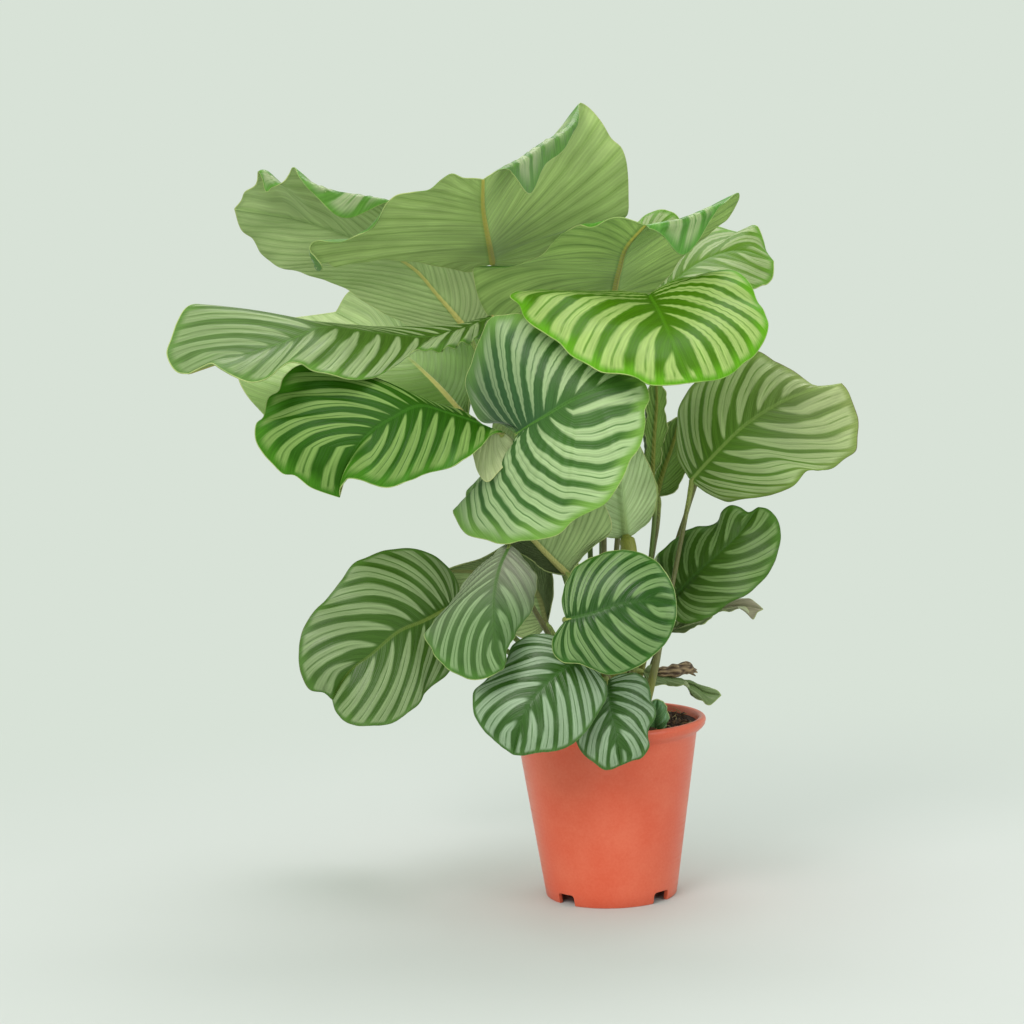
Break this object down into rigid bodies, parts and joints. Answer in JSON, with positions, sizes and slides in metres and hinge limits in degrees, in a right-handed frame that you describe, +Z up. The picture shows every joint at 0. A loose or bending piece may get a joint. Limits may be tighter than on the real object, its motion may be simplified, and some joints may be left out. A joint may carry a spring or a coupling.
{
  "type": "potted calathea",
  "caption": "House plant with large round leaves banded in silver and dark green on thin arching stems, rooted in soil in a tapered orange nursery pot.",
  "frame": {"origin": "middle of the pot's foot, on the surface that the pot stands on", "axes": "+Z up along the pot's axis, +X to the viewer's right, +Y away from the viewer who sees the plant from the front"},
  "size_m": [0.4184, 0.2953, 0.5003],
  "materials": {
    "pot_plastic": "satin",
    "soil": "matte",
    "stem_green": "satin",
    "leaf_blade": "satin"
  },
  "bodies": {
    "root": {"nursery_pot": "pot_plastic", "potting_soil": "soil", "stem_crown": "stem_green", "stem_back_left": "stem_green", "stem_upper_right": "stem_green", "stem_front_right": "stem_green", "stem_right_back": "stem_green", "stem_back_right": "stem_green", "stem_left_long": "stem_green", "stem_left_back": "stem_green", "stem_left": "stem_green", "stem_centre": "stem_green", "stem_right": "stem_green", "stem_right_low": "stem_green", "stem_right_small": "stem_green", "stem_left_low": "stem_green", "stem_folded": "stem_green", "stem_behind_folded": "stem_green", "stem_low_round": "stem_green", "stem_pot_left": "stem_green", "stem_pot_right": "stem_green", "stem_sprout": "stem_green", "stem_behind_centre": "stem_green", "stem_under_centre": "stem_green", "stem_inner_right": "stem_green", "stem_inner_strip": "stem_green", "stem_withered": "stem_green", "stem_rear_high": "stem_green", "stem_rear_right": "stem_green", "stem_rear_left": "stem_green", "stem_rear_low": "stem_green", "leaf_crown": "leaf_blade", "leaf_back_left": "leaf_blade", "leaf_upper_right": "leaf_blade", "leaf_front_right": "leaf_blade", "leaf_right_back": "leaf_blade", "leaf_back_right": "leaf_blade", "leaf_left_long": "leaf_blade", "leaf_left_back": "leaf_blade", "leaf_left": "leaf_blade", "leaf_centre": "leaf_blade", "leaf_right": "leaf_blade", "leaf_right_low": "leaf_blade", "leaf_right_small": "leaf_blade", "leaf_left_low": "leaf_blade", "leaf_folded": "leaf_blade", "leaf_behind_folded": "leaf_blade", "leaf_low_round": "leaf_blade", "leaf_pot_left": "leaf_blade", "leaf_pot_right": "leaf_blade", "leaf_sprout": "leaf_blade", "leaf_behind_centre": "leaf_blade", "leaf_under_centre": "leaf_blade", "leaf_inner_right": "leaf_blade", "leaf_inner_strip": "leaf_blade", "leaf_withered": "leaf_blade", "leaf_rear_high": "leaf_blade", "leaf_rear_right": "leaf_blade", "leaf_rear_left": "leaf_blade", "leaf_rear_low": "leaf_blade"}
  },
  "joints": []
}
